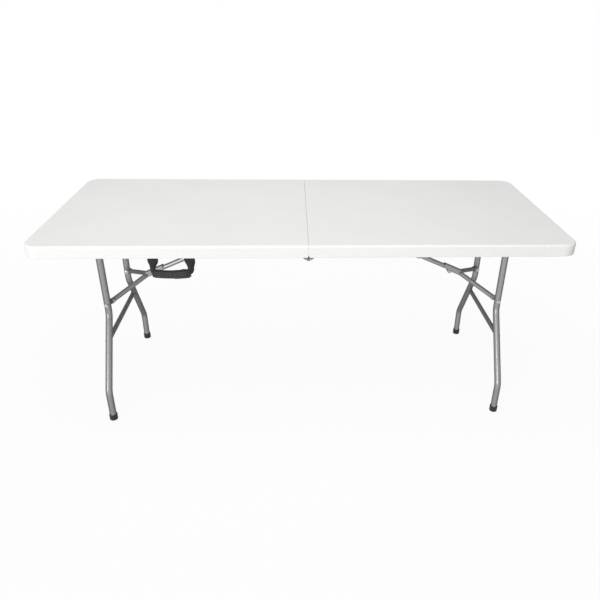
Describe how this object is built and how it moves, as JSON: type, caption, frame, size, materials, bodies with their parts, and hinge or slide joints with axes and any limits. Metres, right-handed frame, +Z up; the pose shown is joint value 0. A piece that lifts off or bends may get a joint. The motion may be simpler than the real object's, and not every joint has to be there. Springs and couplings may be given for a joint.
{
  "type": "folding table",
  "caption": "Fold-in-half table with a moulded white top, folding steel leg frames, locking braces, seam link hinges and a black webbing carry handle.",
  "frame": {"origin": "on the floor under the middle of the seam, with the table set up", "axes": "+X along the table to the right seen from the handle's side, +Y to the back, +Z up"},
  "size_m": [1.8, 0.74, 0.74],
  "materials": {
    "moulded_top": "fine pebbled texture",
    "coated_steel": "satin silver-grey coating",
    "plated_steel": "bright zinc plate",
    "black_plastic": "matte",
    "webbing": "woven"
  },
  "bodies": {
    "centre_hinge": {"front_hinge_link": "plated_steel", "back_hinge_link": "plated_steel", "hinge_pins": "plated_steel"},
    "right_half": {"right_deck": "moulded_top", "right_liner": "moulded_top", "right_front_rail": "coated_steel", "right_back_rail": "coated_steel", "right_rail_screws": "plated_steel", "right_rail_caps": "black_plastic", "right_hinge_cheeks": "plated_steel", "right_hinge_rivets": "plated_steel", "right_strut_bracket": "coated_steel", "right_strut_pin": "plated_steel", "right_bracket_screws": "plated_steel"},
    "right_legs": {"right_pivot_tube": "coated_steel", "right_front_leg": "coated_steel", "right_back_leg": "coated_steel", "right_crossbar": "coated_steel", "right_front_foot": "black_plastic", "right_back_foot": "black_plastic", "right_pivot_bushes": "black_plastic", "right_leg_rivets": "plated_steel"},
    "right_strut": {"right_strut": "coated_steel"},
    "right_wishbone": {"right_wishbone": "coated_steel", "right_knee_channel": "coated_steel", "right_knee_pin": "plated_steel", "right_arm_rivets": "plated_steel"},
    "right_lock_ring": {"right_lock_ring": "plated_steel"},
    "left_half": {"left_deck": "moulded_top", "left_liner": "moulded_top", "left_front_rail": "coated_steel", "left_back_rail": "coated_steel", "left_rail_screws": "plated_steel", "left_rail_caps": "black_plastic", "left_hinge_cheeks": "plated_steel", "left_hinge_rivets": "plated_steel", "left_strut_bracket": "coated_steel", "left_strut_pin": "plated_steel", "left_bracket_screws": "plated_steel", "handle_tabs": "webbing", "handle_rivets": "plated_steel"},
    "left_legs": {"left_pivot_tube": "coated_steel", "left_front_leg": "coated_steel", "left_back_leg": "coated_steel", "left_crossbar": "coated_steel", "left_front_foot": "black_plastic", "left_back_foot": "black_plastic", "left_pivot_bushes": "black_plastic", "left_leg_rivets": "plated_steel"},
    "left_strut": {"left_strut": "coated_steel"},
    "left_wishbone": {"left_wishbone": "coated_steel", "left_knee_channel": "coated_steel", "left_knee_pin": "plated_steel", "left_arm_rivets": "plated_steel"},
    "left_lock_ring": {"left_lock_ring": "plated_steel"},
    "handle": {"handle_loop": "webbing"}
  },
  "joints": [
    {"name": "right_fold", "type": "hinge", "parent": "centre_hinge", "child": "right_half", "pos_m": [0.009, 0, 0.691], "axis": [0, 1, 0], "range_deg": [0, 90]},
    {"name": "right_leg_fold", "type": "hinge", "parent": "right_half", "child": "right_legs", "pos_m": [0.739, 0, 0.7005], "axis": [0, 1, 0], "range_deg": [0, 90]},
    {"name": "right_strut_lift", "type": "hinge", "parent": "right_half", "child": "right_strut", "pos_m": [0.055, 0, 0.718], "axis": [0, -1, 0], "range_deg": [0, 23.82]},
    {"name": "right_knee", "type": "hinge", "parent": "right_strut", "child": "right_wishbone", "pos_m": [0.57575, 0, 0.47715], "axis": [0, 1, 0], "range_deg": [0, 180.82]},
    {"name": "right_lock_slide", "type": "slide", "parent": "right_strut", "child": "right_lock_ring", "axis": [-0.9148, 0, 0.4039], "range_m": [-0.132, 0]},
    {"name": "left_fold", "type": "hinge", "parent": "centre_hinge", "child": "left_half", "pos_m": [-0.009, 0, 0.691], "axis": [0, -1, 0], "range_deg": [0, 90]},
    {"name": "left_leg_fold", "type": "hinge", "parent": "left_half", "child": "left_legs", "pos_m": [-0.739, 0, 0.7005], "axis": [0, -1, 0], "range_deg": [0, 90]},
    {"name": "left_strut_lift", "type": "hinge", "parent": "left_half", "child": "left_strut", "pos_m": [-0.055, 0, 0.718], "axis": [0, 1, 0], "range_deg": [0, 23.82]},
    {"name": "left_knee", "type": "hinge", "parent": "left_strut", "child": "left_wishbone", "pos_m": [-0.57575, 0, 0.47715], "axis": [0, -1, 0], "range_deg": [0, 180.82]},
    {"name": "left_lock_slide", "type": "slide", "parent": "left_strut", "child": "left_lock_ring", "axis": [0.9148, 0, 0.4039], "range_m": [-0.132, 0]},
    {"name": "handle_swing", "type": "hinge", "parent": "left_half", "child": "handle", "pos_m": [-0.441, -0.3521, 0.6963], "axis": [-1, 0, 0], "range_deg": [-60, 90]}
  ],
  "couplings": [
    {"joint": "right_strut_lift", "follows": "right_leg_fold", "ratio": 0.26469},
    {"joint": "right_knee", "follows": "right_leg_fold", "ratio": 2.0091},
    {"joint": "left_strut_lift", "follows": "left_leg_fold", "ratio": 0.26469},
    {"joint": "left_knee", "follows": "left_leg_fold", "ratio": 2.0091}
  ]
}
